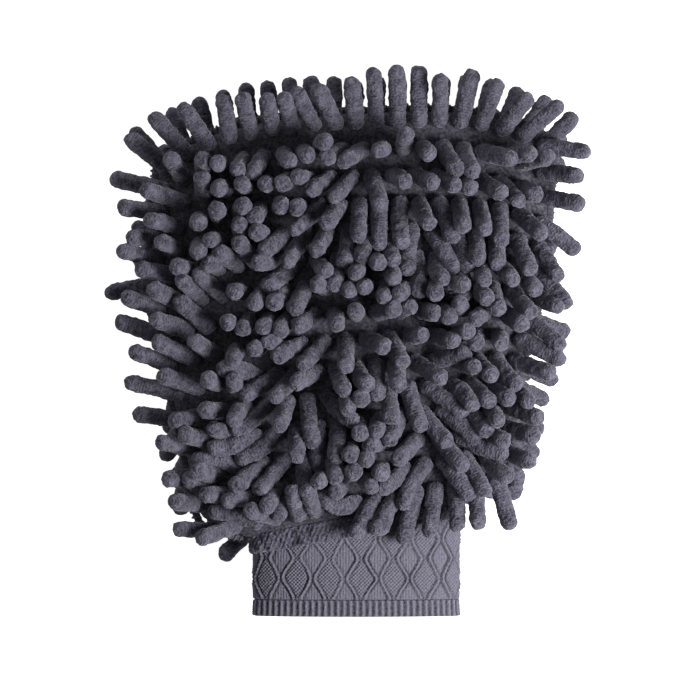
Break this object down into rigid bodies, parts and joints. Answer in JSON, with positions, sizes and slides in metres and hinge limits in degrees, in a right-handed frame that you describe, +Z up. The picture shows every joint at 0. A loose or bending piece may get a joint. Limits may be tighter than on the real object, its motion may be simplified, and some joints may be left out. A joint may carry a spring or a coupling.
{
  "type": "chenille wash mitt",
  "caption": "Hand-washing mitt: a flat sewn bag covered on both faces with soft chenille fingers, with a knitted relief-pattern cuff at the open end.",
  "frame": {"origin": "centre of the mitt's footprint, on the surface that its rear pile rests on", "axes": "+Z up out of the front face, +Y towards the closed fingertip end, so the cuff opens towards -Y"},
  "size_m": [0.2158, 0.2495, 0.077],
  "materials": {
    "chenille": "soft velvety microfibre pile",
    "backing_cloth": "matt knitted cloth",
    "lining_cloth": "smooth matt knit",
    "cuff_yarn": "matt knitted relief",
    "overlock_thread": "stitched thread",
    "elastic": "matt"
  },
  "bodies": {
    "root": {"front_backing": "backing_cloth", "rear_backing": "backing_cloth", "front_lining": "lining_cloth", "rear_lining": "lining_cloth", "edge_seam": "overlock_thread", "wrist_hem": "backing_cloth", "cuff_knit": "cuff_yarn", "cuff_welt": "cuff_yarn", "welt_elastic": "elastic", "front_row_01": "chenille", "front_row_02": "chenille", "front_row_03": "chenille", "front_row_04": "chenille", "front_row_05": "chenille", "front_row_06": "chenille", "front_row_07": "chenille", "front_row_08": "chenille", "front_row_09": "chenille", "front_row_10": "chenille", "front_row_11": "chenille", "front_row_12": "chenille", "front_row_13": "chenille", "front_row_14": "chenille", "front_row_15": "chenille", "rear_row_01": "chenille", "rear_row_02": "chenille", "rear_row_03": "chenille", "rear_row_04": "chenille", "rear_row_05": "chenille", "rear_row_06": "chenille", "rear_row_07": "chenille", "rear_row_08": "chenille", "rear_row_09": "chenille", "rear_row_10": "chenille", "rear_row_11": "chenille", "rear_row_12": "chenille", "rear_row_13": "chenille", "rear_row_14": "chenille", "rear_row_15": "chenille"}
  },
  "joints": []
}
